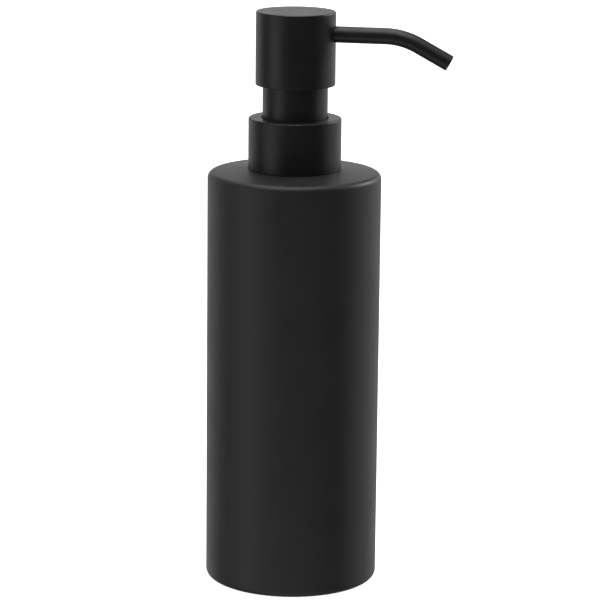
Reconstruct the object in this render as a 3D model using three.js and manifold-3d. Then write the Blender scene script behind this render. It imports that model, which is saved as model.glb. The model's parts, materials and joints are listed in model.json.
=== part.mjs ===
// Soap pump dispenser: a glazed stoneware bottle with a screw-on pump.
// Millimetres, +Z up. The origin is the centre of the resting face, and the spout points along +X.
// The pump is at rest, with its head fully up.

import * as THREE from 'three';
import { mergeVertices } from 'three/addons/utils/BufferGeometryUtils.js';
import Module from 'manifold-3d';

const wasm = await Module();
wasm.setup();

// ---- Driving dimensions -------------------------------------------------------------------

const GAP = 0.3; // clearance between neighbouring pieces
const STROKE = 10.5; // travel of the pump head
const PISTON_SLIP = 1.2; // lost motion of the piston on the stem
const BALL_LIFT = 1.5; // travel of the inlet ball

const COARSE = 20; // facets round a small hidden turned piece
const MEDIUM = 36; // facets round a collar-sized turned piece
const FINE = 48; // facets round the bottle
const ROUND_STEPS = 3; // facets along a rounded edge
const DRILL_SIDES = 8; // facets round a drilled port
const OVERCUT = 1; // how far a cutting tool runs past the surface that it cuts

// Bottle and its non-slip pad
const BOTTLE_RADIUS = 30;
const BOTTLE_TOP = 145.7; // the flat seat round the mouth
const BOTTLE_BOTTOM = 0.4; // the pad stands this far proud of the stoneware
const BOTTLE_WALL = 4.5;
const BASE_ROUND = 2.0;
const SHOULDER_ROUND = 2.2;
const SHOULDER_DROP = 1.2; // the top slopes down by this much from the seat to the shoulder
const SEAT_RADIUS = 16.4;
const CAVITY_FLOOR = 6.5;
const SHOULDER_THICKNESS = 5.2;
const CAVITY_CEILING = BOTTLE_TOP - SHOULDER_THICKNESS;
const CAVITY_ROUND = 5;
const MOUTH_RADIUS = 12.6;
const PAD_THICKNESS = 1.8;
const PAD_RADIUS = 26.2;
const PAD_EDGE = 0.3; // bevel round the pad's lower edge

// Threaded insert glued into the bottle's mouth
const INSERT_BORE = 10.9;
const INSERT_BOTTOM = 135;
const INSERT_FLANGE_RADIUS = 14;
const INSERT_FLANGE_THICKNESS = 1.2;
const NECK_ROOT_RADIUS = 12.55;
const NECK_CREST_RADIUS = 13.5;
const NECK_TOP = 156.8;
const THREAD_PITCH = 4.2;
const THREAD_ROOT_WIDTH = 2.2;
const THREAD_CREST_WIDTH = 1.0;
const THREAD_BURIED = 0.3; // how far a ridge's root reaches into its wall
const THREAD_RUN_OUT = 0.15; // turns over which a ridge sinks into its wall
const THREAD_STEPS = 24; // facets for each turn
const NECK_TURNS = 1.5;
const CLOSURE_TURNS = 1.25;

// Clamped stack on top of the neck, from the gasket up to the collar's top face
const STACK_RADIUS = 13.3;
const GASKET_THICKNESS = 1.1;
const HOUSING_FLANGE_THICKNESS = 1.2;
const CHAPLET_FLANGE_THICKNESS = 1.0;
const CLOSURE_TOP_THICKNESS = 1.2;
const COLLAR_TOP_THICKNESS = 0.7;
const GASKET_BOTTOM = NECK_TOP + GAP;
const HOUSING_FLANGE_BOTTOM = GASKET_BOTTOM + GASKET_THICKNESS + GAP;
const CHAPLET_FLANGE_BOTTOM = HOUSING_FLANGE_BOTTOM + HOUSING_FLANGE_THICKNESS + GAP;
const CHAPLET_FLANGE_TOP = CHAPLET_FLANGE_BOTTOM + CHAPLET_FLANGE_THICKNESS;
const CLOSURE_TOP = CHAPLET_FLANGE_TOP + GAP + CLOSURE_TOP_THICKNESS;
const COLLAR_TOP = CLOSURE_TOP + GAP + COLLAR_TOP_THICKNESS;

// Collar: metal shell over the threaded closure
const COLLAR_RADIUS = 16.0;
const COLLAR_WALL = 0.6;
const COLLAR_ROUND = 0.6;
const COLLAR_MOUTH_RADIUS = 11.55;
const CLOSURE_RADIUS = COLLAR_RADIUS - COLLAR_WALL - GAP;
const CLOSURE_ROOT_RADIUS = 14.15;
const CLOSURE_CREST_RADIUS = NECK_CREST_RADIUS + GAP;

// Guide sleeve and the chaplet that it stands on
const SLEEVE_RADIUS = 11.2;
const SLEEVE_WALL = 0.68;
const SLEEVE_TOP = 177.3;
const CHAPLET_TOWER_TOP = 169.4;
const CHAPLET_BUSH_TOP = 172.8;
const CHAPLET_BUSH_BOTTOM = 163.7;
const CHAPLET_BUSH_RADIUS = 5.8;
const CHAPLET_WALL = 1.35;
const CHAPLET_PLUG_BORE = 6.2;
const SEAL_THICKNESS = 1.0;
const SEAL_HEIGHT = 2.1;

// Pump housing and inlet valve
const CYLINDER_BORE = 7.6;
const HOUSING_RADIUS = 9.2;
const HOUSING_SHOULDER = 109.2; // height where the housing starts to narrow
const HOUSING_LEDGE = 113.2; // height that the ball cage rests on
const SOCKET_TOP = 105.2;
const SOCKET_BOTTOM = 94.2;
const SOCKET_WALL = 1.6;
const VENT_RADIUS = 0.6;
const VENT_HEIGHT = 153.4;
const BALL_RADIUS = 3;
const BALL_CHAMBER_RADIUS = 3.6;
const SEAT_HOLE_RADIUS = 1.8;
const SEAT_BOTTOM = 106.4; // the seat is a 45 degree cone
const BALL_HEIGHT = SEAT_BOTTOM - SEAT_HOLE_RADIUS + (BALL_RADIUS + GAP) * Math.SQRT2;
const CAGE_THICKNESS = 2.2;
const CAGE_BAR_WIDTH = 1.1;
const DIP_TUBE_RADIUS = 3.0;
const DIP_TUBE_BORE = 2.1;
const DIP_TUBE_BOTTOM = 10;
const DIP_TUBE_CUT_ANGLE = 35; // degrees

// Plunger: stem, its plug, the piston and the spring
const STEM_RADIUS = 3.9;
const STEM_BORE = 2.2;
const STEM_TOP = 191;
const STEM_SHOULDER_RADIUS = 5;
const STEM_SHOULDER_THICKNESS = 1.5;
const PLUG_FLANGE_RADIUS = 5.9;
const PLUG_FLANGE_BOTTOM = 137.7;
const PLUG_FLANGE_TOP = 140.7;
const PLUG_SPIGOT_LENGTH = 2.3;
const PORT_RADIUS = 0.9;
const PORT_HEIGHT = 144.4;
const PORT_PAIRS = 2;
const PISTON_BOTTOM = PLUG_FLANGE_TOP + GAP;
const PISTON_TOP = 149.2;
const PISTON_LIP_THICKNESS = 0.9;
const PISTON_WAIST_RADIUS = 6.1;
const PISTON_CHANNEL_RADIUS = 4.8;
const PISTON_CHANNEL_TOP = 145.8;
const SPRING_WIRE_RADIUS = 0.55;
const SPRING_RADIUS = 5.2;
const SPRING_TURNS = 7;
const SPRING_STEPS_PER_TURN = 12;
const SPRING_WIRE_SIDES = 6;

// Head: metal shell over a moulded core that holds the spout
const HEAD_RADIUS = 13.7;
const HEAD_WALL = 0.9;
const HEAD_BOTTOM = 174.8;
const HEAD_TOP = 200;
const HEAD_TOP_THICKNESS = 1.0;
const HEAD_TOP_ROUND = 0.5;
const HEAD_BOTTOM_ROUND = 0.3;
const CORE_RADIUS = HEAD_RADIUS - HEAD_WALL - GAP;
const CORE_SKIRT_BORE = 11.55;
const CORE_RECESS = 1; // the core stops this far inside the shell's mouth
const CORE_SKIRT_BOTTOM = HEAD_BOTTOM + CORE_RECESS;
const END_CLEARANCE = 0.5; // left above the fixed parts at full stroke
const CORE_PLUG_BOTTOM = SLEEVE_TOP + STROKE + END_CLEARANCE;
const CORE_BOSS_RADIUS = 6.2;
const CORE_BOSS_BOTTOM = CHAPLET_BUSH_TOP + STROKE + END_CLEARANCE;
const CORE_PASSAGE_RADIUS = 1.8;

// Spout: bent metal tube with a plastic liner
const SPOUT_RADIUS = 2.8;
const SPOUT_BORE = 2.3;
const SPOUT_HEIGHT = 192.5;
const SPOUT_START = 5.3;
const SPOUT_BEND_START = 31;
const SPOUT_BEND_RADIUS = 24;
const SPOUT_BEND_ANGLE = 28; // degrees
const SPOUT_END_LENGTH = 12.2;
const SPOUT_STEPS = 15;
const SPOUT_SIDES = 16;
const LINER_RADIUS = SPOUT_BORE - GAP;
const LINER_BORE = 1.4;
const LINER_SIDES = 8;
const LINER_RECESS = 0.8; // the liner stops this far inside the tube's end

// ---- Finishes -----------------------------------------------------------------------------

const MATT_GLAZE = { color: 0x1d1d1e, roughness: 0.55, metalness: 0 };
const BLACK_COAT = { color: 0x171718, roughness: 0.45, metalness: 0 };
const BLACK_PLASTIC = { color: 0x121212, roughness: 0.5, metalness: 0 };
const NATURAL_PLASTIC = { color: 0xe4e3dc, roughness: 0.45, metalness: 0 };
const SOFT_PLASTIC = { color: 0xd9dcdb, roughness: 0.5, metalness: 0 };
const RUBBER = { color: 0x1a1a1a, roughness: 0.85, metalness: 0 };
const STEEL = { color: 0xb9babb, roughness: 0.3, metalness: 1 };

// ---- Geometry helpers ---------------------------------------------------------------------

const radians = THREE.MathUtils.degToRad;

// Points of a rounded corner in a turned outline, from one direction in degrees to another.
function corner(radius, height, round, fromDegrees, toDegrees) {
  const points = [];
  for (let step = 0; step <= ROUND_STEPS; step += 1) {
    const angle = radians(fromDegrees + ((toDegrees - fromDegrees) * step) / ROUND_STEPS);
    points.push([radius + round * Math.cos(angle), height + round * Math.sin(angle)]);
  }
  return points;
}

// A solid turned about the z axis from [radius, height] points that run anticlockwise.
function turned(outline, facets) {
  const points = outline.map(([radius, height]) => new THREE.Vector2(radius, height));
  const startsOnAxis = outline[0][0] === 0;
  if (!startsOnAxis) {
    points.push(points[0].clone());
  }
  return new THREE.LatheGeometry(points, facets).rotateX(Math.PI / 2);
}

// A ring of rectangular section.
function ring(innerRadius, outerRadius, bottom, top, facets) {
  return turned([
    [innerRadius, bottom],
    [outerRadius, bottom],
    [outerRadius, top],
    [innerRadius, top],
  ], facets);
}

// A cylinder along +X that starts at the given x.
function rodAlongX(radius, startX, endX, height, facets) {
  return new THREE.CylinderGeometry(radius, radius, endX - startX, facets)
    .rotateZ(-Math.PI / 2)
    .translate((startX + endX) / 2, 0, height);
}

function circle(radius, sides) {
  const points = [];
  for (let side = 0; side < sides; side += 1) {
    const angle = (2 * Math.PI * side) / sides;
    points.push(new THREE.Vector2(radius * Math.cos(angle), radius * Math.sin(angle)));
  }
  return points;
}

// A ridge of trapezoid section wound down a right-hand helix from its top end.
function helicalRidge(rootRadius, crestRadius, turns, topHeight) {
  const depth = crestRadius - rootRadius;
  const section = new THREE.Shape([
    new THREE.Vector2(0, -THREAD_ROOT_WIDTH / 2),
    new THREE.Vector2(depth, -THREAD_CREST_WIDTH / 2),
    new THREE.Vector2(depth, THREAD_CREST_WIDTH / 2),
    new THREE.Vector2(0, THREAD_ROOT_WIDTH / 2),
  ]);
  const ridge = new THREE.ExtrudeGeometry(section, {
    depth: turns,
    steps: Math.round(turns * THREAD_STEPS),
    bevelEnabled: false,
  });
  const position = ridge.attributes.position;
  const lowest = THREAD_BURIED / 2 / Math.abs(depth);
  for (let index = 0; index < position.count; index += 1) {
    const turn = position.getZ(index);
    const fromEnd = Math.min(turn, turns - turn);
    const rise = Math.min(1, lowest + fromEnd / THREAD_RUN_OUT);
    const radius = rootRadius + position.getX(index) * rise;
    const angle = -2 * Math.PI * turn;
    position.setXYZ(
      index,
      radius * Math.cos(angle),
      radius * Math.sin(angle),
      topHeight + position.getY(index) - turn * THREAD_PITCH,
    );
  }
  return ridge;
}

// ---- Boolean helpers ----------------------------------------------------------------------

function toSolid(geometry) {
  const bare = geometry.clone();
  bare.deleteAttribute('normal');
  bare.deleteAttribute('uv');
  const merged = mergeVertices(bare);
  const corners = Array.from(merged.index.array);
  const triangles = [];
  for (let start = 0; start < corners.length; start += 3) {
    const [a, b, c] = corners.slice(start, start + 3);
    const hasArea = a !== b && b !== c && c !== a;
    if (hasArea) {
      triangles.push(a, b, c);
    }
  }
  return new wasm.Manifold(new wasm.Mesh({
    numProp: 3,
    vertProperties: new Float32Array(merged.attributes.position.array),
    triVerts: new Uint32Array(triangles),
  }));
}

function toGeometry(solid) {
  const mesh = solid.getMesh();
  const geometry = new THREE.BufferGeometry();
  geometry.setAttribute('position', new THREE.BufferAttribute(mesh.vertProperties, mesh.numProp));
  geometry.setIndex(new THREE.BufferAttribute(mesh.triVerts, 1));
  geometry.computeVertexNormals();
  return geometry;
}

function joined(first, ...others) {
  let solid = toSolid(first);
  for (const other of others) {
    solid = solid.add(toSolid(other));
  }
  return toGeometry(solid);
}

function cut(first, ...tools) {
  let solid = toSolid(first);
  for (const tool of tools) {
    solid = solid.subtract(toSolid(tool));
  }
  return toGeometry(solid);
}

// ---- Bottle -------------------------------------------------------------------------------

function makeBottle() {
  const cavityRadius = BOTTLE_RADIUS - BOTTLE_WALL;
  const recessRadius = PAD_RADIUS + GAP;
  const recessTop = PAD_THICKNESS + GAP;
  const shoulderRadius = BOTTLE_RADIUS - SHOULDER_ROUND;
  const shoulderTop = BOTTLE_TOP - SHOULDER_DROP;
  const topSlope = THREE.MathUtils.radToDeg(Math.atan2(SHOULDER_DROP, shoulderRadius - SEAT_RADIUS));
  return turned([
    [0, recessTop],
    [recessRadius, recessTop],
    [recessRadius, BOTTLE_BOTTOM],
    ...corner(BOTTLE_RADIUS - BASE_ROUND, BOTTLE_BOTTOM + BASE_ROUND, BASE_ROUND, -90, 0),
    ...corner(shoulderRadius, shoulderTop - SHOULDER_ROUND, SHOULDER_ROUND, 0, 90 - topSlope),
    [SEAT_RADIUS, BOTTLE_TOP],
    [MOUTH_RADIUS, BOTTLE_TOP],
    [MOUTH_RADIUS, CAVITY_CEILING],
    ...corner(cavityRadius - CAVITY_ROUND, CAVITY_CEILING - CAVITY_ROUND, CAVITY_ROUND, 90, 0),
    ...corner(cavityRadius - CAVITY_ROUND, CAVITY_FLOOR + CAVITY_ROUND, CAVITY_ROUND, 0, -90),
    [0, CAVITY_FLOOR],
  ], FINE);
}

function makeBasePad() {
  return turned([
    [0, 0],
    [PAD_RADIUS - PAD_EDGE, 0],
    [PAD_RADIUS, PAD_EDGE],
    [PAD_RADIUS, PAD_THICKNESS],
    [0, PAD_THICKNESS],
  ], FINE);
}

function makeNeckInsert() {
  const flangeBottom = BOTTLE_TOP + GAP;
  const flangeTop = flangeBottom + INSERT_FLANGE_THICKNESS;
  const tubeRadius = MOUTH_RADIUS - GAP;
  const tube = turned([
    [INSERT_BORE, INSERT_BOTTOM],
    [tubeRadius, INSERT_BOTTOM],
    [tubeRadius, flangeBottom],
    [INSERT_FLANGE_RADIUS, flangeBottom],
    [INSERT_FLANGE_RADIUS, flangeTop],
    [NECK_ROOT_RADIUS, flangeTop],
    [NECK_ROOT_RADIUS, NECK_TOP],
    [INSERT_BORE, NECK_TOP],
  ], MEDIUM);
  const ridge = helicalRidge(
    NECK_ROOT_RADIUS - THREAD_BURIED,
    NECK_CREST_RADIUS,
    NECK_TURNS,
    NECK_TOP - THREAD_ROOT_WIDTH / 2 - GAP,
  );
  return joined(tube, ridge);
}

// ---- Pump housing and inlet valve ---------------------------------------------------------

function makeNeckGasket() {
  return ring(
    HOUSING_RADIUS + GAP,
    STACK_RADIUS,
    GASKET_BOTTOM,
    GASKET_BOTTOM + GASKET_THICKNESS,
    MEDIUM,
  );
}

function makePumpHousing() {
  const socketBore = DIP_TUBE_RADIUS + GAP;
  const socketRadius = socketBore + SOCKET_WALL;
  const seatTop = SEAT_BOTTOM + BALL_CHAMBER_RADIUS - SEAT_HOLE_RADIUS;
  const flangeTop = HOUSING_FLANGE_BOTTOM + HOUSING_FLANGE_THICKNESS;
  const housing = turned([
    [socketBore, SOCKET_BOTTOM],
    [socketRadius, SOCKET_BOTTOM],
    [socketRadius, SOCKET_TOP],
    [HOUSING_RADIUS, HOUSING_SHOULDER],
    [HOUSING_RADIUS, HOUSING_FLANGE_BOTTOM],
    [STACK_RADIUS, HOUSING_FLANGE_BOTTOM],
    [STACK_RADIUS, flangeTop],
    [CYLINDER_BORE, flangeTop],
    [CYLINDER_BORE, HOUSING_LEDGE],
    [BALL_CHAMBER_RADIUS, HOUSING_LEDGE],
    [BALL_CHAMBER_RADIUS, seatTop],
    [SEAT_HOLE_RADIUS, SEAT_BOTTOM],
    [SEAT_HOLE_RADIUS, SOCKET_TOP],
    [socketBore, SOCKET_TOP],
  ], COARSE);
  const vent = rodAlongX(
    VENT_RADIUS,
    CYLINDER_BORE - OVERCUT,
    HOUSING_RADIUS + OVERCUT,
    VENT_HEIGHT,
    DRILL_SIDES,
  );
  return cut(housing, vent);
}

function makeDipTube() {
  const tubeTop = SOCKET_TOP - GAP;
  const tube = ring(DIP_TUBE_BORE, DIP_TUBE_RADIUS, DIP_TUBE_BOTTOM, tubeTop, COARSE);
  const blockSide = 8 * DIP_TUBE_RADIUS;
  const block = new THREE.BoxGeometry(blockSide, blockSide, blockSide)
    .translate(0, 0, -blockSide / 2)
    .rotateY(radians(DIP_TUBE_CUT_ANGLE))
    .translate(0, 0, DIP_TUBE_BOTTOM + DIP_TUBE_RADIUS * Math.tan(radians(DIP_TUBE_CUT_ANGLE)));
  return cut(tube, block);
}

// The ball rests in its conical seat, one gap clear of the cone.
function makeInletBall() {
  return new THREE.SphereGeometry(BALL_RADIUS, COARSE, COARSE / 2)
    .rotateX(Math.PI / 2)
    .translate(0, 0, BALL_HEIGHT);
}

// A ring with a cross of two bars, which stops the ball and lets the soap past.
function makeBallCage() {
  const bottom = HOUSING_LEDGE + GAP;
  const top = bottom + CAGE_THICKNESS;
  const body = ring(BALL_CHAMBER_RADIUS, CYLINDER_BORE - GAP, bottom, top, COARSE);
  const barLength = BALL_CHAMBER_RADIUS + CYLINDER_BORE - GAP;
  const barHeight = top - (BALL_HEIGHT + BALL_RADIUS + BALL_LIFT + GAP);
  const bar = new THREE.BoxGeometry(barLength, CAGE_BAR_WIDTH, barHeight)
    .translate(0, 0, top - barHeight / 2);
  return joined(body, bar, bar.clone().rotateZ(Math.PI / 2));
}

// ---- Plunger ------------------------------------------------------------------------------

class Helix extends THREE.Curve {
  constructor(radius, turns, bottom, top) {
    super();
    this.radius = radius;
    this.turns = turns;
    this.bottom = bottom;
    this.top = top;
  }

  getPoint(t) {
    const angle = 2 * Math.PI * this.turns * t;
    const height = this.bottom + (this.top - this.bottom) * t;
    return new THREE.Vector3(this.radius * Math.cos(angle), this.radius * Math.sin(angle), height);
  }
}

function makeSpring() {
  const bottom = HOUSING_LEDGE + GAP + CAGE_THICKNESS + GAP + SPRING_WIRE_RADIUS;
  const top = PLUG_FLANGE_BOTTOM - GAP - SPRING_WIRE_RADIUS;
  return new THREE.ExtrudeGeometry(new THREE.Shape(circle(SPRING_WIRE_RADIUS, SPRING_WIRE_SIDES)), {
    steps: SPRING_TURNS * SPRING_STEPS_PER_TURN,
    extrudePath: new Helix(SPRING_RADIUS, SPRING_TURNS, bottom, top),
  });
}

function makeStem() {
  const bottom = PLUG_FLANGE_TOP + GAP;
  const shoulderBottom = PISTON_TOP + PISTON_SLIP + GAP;
  const shoulderTop = shoulderBottom + STEM_SHOULDER_THICKNESS;
  const tube = turned([
    [STEM_BORE, bottom],
    [STEM_RADIUS, bottom],
    [STEM_RADIUS, shoulderBottom],
    [STEM_SHOULDER_RADIUS, shoulderBottom],
    [STEM_SHOULDER_RADIUS, shoulderTop],
    [STEM_RADIUS, shoulderTop],
    [STEM_RADIUS, STEM_TOP],
    [STEM_BORE, STEM_TOP],
  ], COARSE);
  const ports = [];
  for (let pair = 0; pair < PORT_PAIRS; pair += 1) {
    const reach = STEM_RADIUS + OVERCUT;
    const drill = rodAlongX(PORT_RADIUS, -reach, reach, PORT_HEIGHT, DRILL_SIDES);
    ports.push(drill.rotateZ((Math.PI * pair) / PORT_PAIRS));
  }
  return cut(tube, ...ports);
}

function makeStemPlug() {
  const spigotRadius = STEM_BORE - GAP;
  return turned([
    [0, PLUG_FLANGE_BOTTOM],
    [PLUG_FLANGE_RADIUS, PLUG_FLANGE_BOTTOM],
    [PLUG_FLANGE_RADIUS, PLUG_FLANGE_TOP],
    [spigotRadius, PLUG_FLANGE_TOP],
    [spigotRadius, PLUG_FLANGE_TOP + PLUG_SPIGOT_LENGTH],
    [0, PLUG_FLANGE_TOP + PLUG_SPIGOT_LENGTH],
  ], COARSE);
}

// Two lips wipe the cylinder, and the bore opens into a channel over the stem's ports.
function makePiston() {
  const lipRadius = CYLINDER_BORE - GAP;
  const guideBore = STEM_RADIUS + GAP;
  return turned([
    [PISTON_CHANNEL_RADIUS, PISTON_BOTTOM],
    [lipRadius, PISTON_BOTTOM],
    [lipRadius, PISTON_BOTTOM + PISTON_LIP_THICKNESS],
    [PISTON_WAIST_RADIUS, PISTON_BOTTOM + 2 * PISTON_LIP_THICKNESS],
    [PISTON_WAIST_RADIUS, PISTON_TOP - 2 * PISTON_LIP_THICKNESS],
    [lipRadius, PISTON_TOP - PISTON_LIP_THICKNESS],
    [lipRadius, PISTON_TOP],
    [guideBore, PISTON_TOP],
    [guideBore, PISTON_CHANNEL_TOP],
    [PISTON_CHANNEL_RADIUS, PISTON_CHANNEL_TOP],
  ], COARSE);
}

// ---- Guide and collar ---------------------------------------------------------------------

function makeChaplet() {
  const towerRadius = SLEEVE_RADIUS - SLEEVE_WALL - GAP;
  const towerBore = towerRadius - CHAPLET_WALL;
  const plugRadius = CYLINDER_BORE - GAP;
  const plugBottom = PISTON_TOP + PISTON_SLIP + GAP;
  const webBottom = CHAPLET_TOWER_TOP - CHAPLET_WALL;
  const stemBore = STEM_RADIUS + GAP;
  return turned([
    [CHAPLET_PLUG_BORE, plugBottom],
    [plugRadius, plugBottom],
    [plugRadius, CHAPLET_FLANGE_BOTTOM],
    [STACK_RADIUS, CHAPLET_FLANGE_BOTTOM],
    [STACK_RADIUS, CHAPLET_FLANGE_TOP],
    [towerRadius, CHAPLET_FLANGE_TOP],
    [towerRadius, CHAPLET_TOWER_TOP],
    [CHAPLET_BUSH_RADIUS, CHAPLET_TOWER_TOP],
    [CHAPLET_BUSH_RADIUS, CHAPLET_BUSH_TOP],
    [stemBore, CHAPLET_BUSH_TOP],
    [stemBore, CHAPLET_BUSH_BOTTOM],
    [CHAPLET_BUSH_RADIUS, CHAPLET_BUSH_BOTTOM],
    [CHAPLET_BUSH_RADIUS, webBottom],
    [towerBore, webBottom],
    [towerBore, CHAPLET_FLANGE_TOP],
    [CHAPLET_PLUG_BORE, CHAPLET_FLANGE_TOP],
  ], COARSE);
}

function makeStemSeal() {
  const bottom = CHAPLET_FLANGE_TOP + GAP;
  const outerRadius = SLEEVE_RADIUS - SLEEVE_WALL - CHAPLET_WALL - 2 * GAP;
  const lipBore = STEM_RADIUS + GAP;
  return turned([
    [lipBore + SEAL_THICKNESS, bottom],
    [outerRadius, bottom],
    [outerRadius, bottom + SEAL_THICKNESS],
    [lipBore + 2 * SEAL_THICKNESS, bottom + SEAL_THICKNESS],
    [lipBore + SEAL_THICKNESS / 2, bottom + SEAL_HEIGHT],
    [lipBore, bottom + SEAL_HEIGHT],
  ], COARSE);
}

function makeGuideSleeve() {
  return ring(
    SLEEVE_RADIUS - SLEEVE_WALL,
    SLEEVE_RADIUS,
    CHAPLET_FLANGE_TOP + GAP,
    SLEEVE_TOP,
    MEDIUM,
  );
}

function makeClosure() {
  const bottom = BOTTLE_TOP + GAP + INSERT_FLANGE_THICKNESS + GAP;
  const discBottom = CLOSURE_TOP - CLOSURE_TOP_THICKNESS;
  const cap = turned([
    [CLOSURE_ROOT_RADIUS, bottom],
    [CLOSURE_RADIUS, bottom],
    [CLOSURE_RADIUS, CLOSURE_TOP],
    [COLLAR_MOUTH_RADIUS, CLOSURE_TOP],
    [COLLAR_MOUTH_RADIUS, discBottom],
    [CLOSURE_ROOT_RADIUS, discBottom],
  ], MEDIUM);
  const ridge = helicalRidge(
    CLOSURE_ROOT_RADIUS + THREAD_BURIED,
    CLOSURE_CREST_RADIUS,
    CLOSURE_TURNS,
    bottom + THREAD_ROOT_WIDTH + CLOSURE_TURNS * THREAD_PITCH,
  );
  return joined(cap, ridge);
}

function makeCollarShell() {
  const bottom = BOTTLE_TOP + GAP;
  const bore = COLLAR_RADIUS - COLLAR_WALL;
  return turned([
    [bore, bottom],
    [COLLAR_RADIUS, bottom],
    ...corner(COLLAR_RADIUS - COLLAR_ROUND, COLLAR_TOP - COLLAR_ROUND, COLLAR_ROUND, 0, 90),
    [COLLAR_MOUTH_RADIUS, COLLAR_TOP],
    [COLLAR_MOUTH_RADIUS, COLLAR_TOP - COLLAR_TOP_THICKNESS],
    [bore, COLLAR_TOP - COLLAR_TOP_THICKNESS],
  ], MEDIUM);
}

// ---- Head and spout -----------------------------------------------------------------------

function makeHeadShell() {
  const bore = HEAD_RADIUS - HEAD_WALL;
  const shell = turned([
    [bore, HEAD_BOTTOM],
    ...corner(HEAD_RADIUS - HEAD_BOTTOM_ROUND, HEAD_BOTTOM + HEAD_BOTTOM_ROUND, HEAD_BOTTOM_ROUND, -90, 0),
    ...corner(HEAD_RADIUS - HEAD_TOP_ROUND, HEAD_TOP - HEAD_TOP_ROUND, HEAD_TOP_ROUND, 0, 90),
    [0, HEAD_TOP],
  ], MEDIUM);
  const hollow = turned([
    [0, HEAD_BOTTOM - OVERCUT],
    [bore, HEAD_BOTTOM - OVERCUT],
    [bore, HEAD_TOP - HEAD_TOP_THICKNESS],
    [0, HEAD_TOP - HEAD_TOP_THICKNESS],
  ], MEDIUM);
  const spoutHole = rodAlongX(
    SPOUT_RADIUS + GAP,
    bore - OVERCUT,
    HEAD_RADIUS + OVERCUT,
    SPOUT_HEIGHT,
    SPOUT_SIDES,
  );
  return cut(shell, hollow, spoutHole);
}

// A plug with a skirt that runs on the guide sleeve, a boss for the stem and a socket for the spout.
function makeHeadCore() {
  const top = HEAD_TOP - HEAD_TOP_THICKNESS - GAP;
  const stemBore = STEM_RADIUS + GAP;
  const stemSocketTop = STEM_TOP + GAP;
  const body = turned([
    [0, CORE_BOSS_BOTTOM],
    [CORE_BOSS_RADIUS, CORE_BOSS_BOTTOM],
    [CORE_BOSS_RADIUS, CORE_PLUG_BOTTOM],
    [CORE_SKIRT_BORE, CORE_PLUG_BOTTOM],
    [CORE_SKIRT_BORE, CORE_SKIRT_BOTTOM],
    [CORE_RADIUS, CORE_SKIRT_BOTTOM],
    [CORE_RADIUS, top],
    [0, top],
  ], MEDIUM);
  const stemSocket = turned([
    [0, CORE_BOSS_BOTTOM - OVERCUT],
    [stemBore, CORE_BOSS_BOTTOM - OVERCUT],
    [stemBore, stemSocketTop],
    [CORE_PASSAGE_RADIUS, stemSocketTop],
    [CORE_PASSAGE_RADIUS, SPOUT_HEIGHT],
    [0, SPOUT_HEIGHT],
  ], COARSE);
  const passage = rodAlongX(
    CORE_PASSAGE_RADIUS,
    -CORE_PASSAGE_RADIUS,
    SPOUT_START,
    SPOUT_HEIGHT,
    SPOUT_SIDES,
  );
  const spoutSocket = rodAlongX(
    SPOUT_RADIUS + GAP,
    SPOUT_START - GAP,
    CORE_RADIUS + OVERCUT,
    SPOUT_HEIGHT,
    SPOUT_SIDES,
  );
  return cut(body, stemSocket, passage, spoutSocket);
}

// The spout's centreline in the x-z plane: level, bent down, then straight for endLength.
class SpoutPath extends THREE.Curve {
  constructor(endLength) {
    super();
    this.bendAngle = radians(SPOUT_BEND_ANGLE);
    this.levelLength = SPOUT_BEND_START - SPOUT_START;
    this.bendLength = SPOUT_BEND_RADIUS * this.bendAngle;
    this.totalLength = this.levelLength + this.bendLength + endLength;
  }

  getPoint(t) {
    const travelled = t * this.totalLength;
    const level = Math.min(travelled, this.levelLength);
    const bent = THREE.MathUtils.clamp(travelled - this.levelLength, 0, this.bendLength);
    const ended = Math.max(travelled - this.levelLength - this.bendLength, 0);
    const angle = bent / SPOUT_BEND_RADIUS;
    return new THREE.Vector3(
      SPOUT_START + level + SPOUT_BEND_RADIUS * Math.sin(angle) + ended * Math.cos(angle),
      0,
      SPOUT_HEIGHT - SPOUT_BEND_RADIUS * (1 - Math.cos(angle)) - ended * Math.sin(angle),
    );
  }
}

function makeTube(bore, radius, sides, endLength) {
  const section = new THREE.Shape(circle(radius, sides));
  section.holes.push(new THREE.Path(circle(bore, sides)));
  return new THREE.ExtrudeGeometry(section, {
    steps: SPOUT_STEPS,
    extrudePath: new SpoutPath(endLength),
  });
}

function makeSpoutTube() {
  return makeTube(SPOUT_BORE, SPOUT_RADIUS, SPOUT_SIDES, SPOUT_END_LENGTH);
}

function makeSpoutLiner() {
  return makeTube(LINER_BORE, LINER_RADIUS, LINER_SIDES, SPOUT_END_LENGTH - LINER_RECESS);
}

// ---- Assembly -----------------------------------------------------------------------------

const dispenser = new THREE.Group();

function addPart(name, geometry, finish) {
  const mesh = new THREE.Mesh(geometry, new THREE.MeshStandardMaterial(finish));
  mesh.name = name;
  dispenser.add(mesh);
}

addPart('bottle', makeBottle(), MATT_GLAZE);
addPart('base_pad', makeBasePad(), RUBBER);
addPart('neck_insert', makeNeckInsert(), BLACK_PLASTIC);
addPart('neck_gasket', makeNeckGasket(), SOFT_PLASTIC);
addPart('pump_housing', makePumpHousing(), NATURAL_PLASTIC);
addPart('dip_tube', makeDipTube(), SOFT_PLASTIC);
addPart('inlet_ball', makeInletBall(), STEEL);
addPart('ball_cage', makeBallCage(), NATURAL_PLASTIC);
addPart('spring', makeSpring(), STEEL);
addPart('stem', makeStem(), NATURAL_PLASTIC);
addPart('stem_plug', makeStemPlug(), NATURAL_PLASTIC);
addPart('piston', makePiston(), SOFT_PLASTIC);
addPart('chaplet', makeChaplet(), BLACK_PLASTIC);
addPart('stem_seal', makeStemSeal(), RUBBER);
addPart('guide_sleeve', makeGuideSleeve(), BLACK_COAT);
addPart('closure', makeClosure(), BLACK_PLASTIC);
addPart('collar_shell', makeCollarShell(), BLACK_COAT);
addPart('head_shell', makeHeadShell(), BLACK_COAT);
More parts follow.
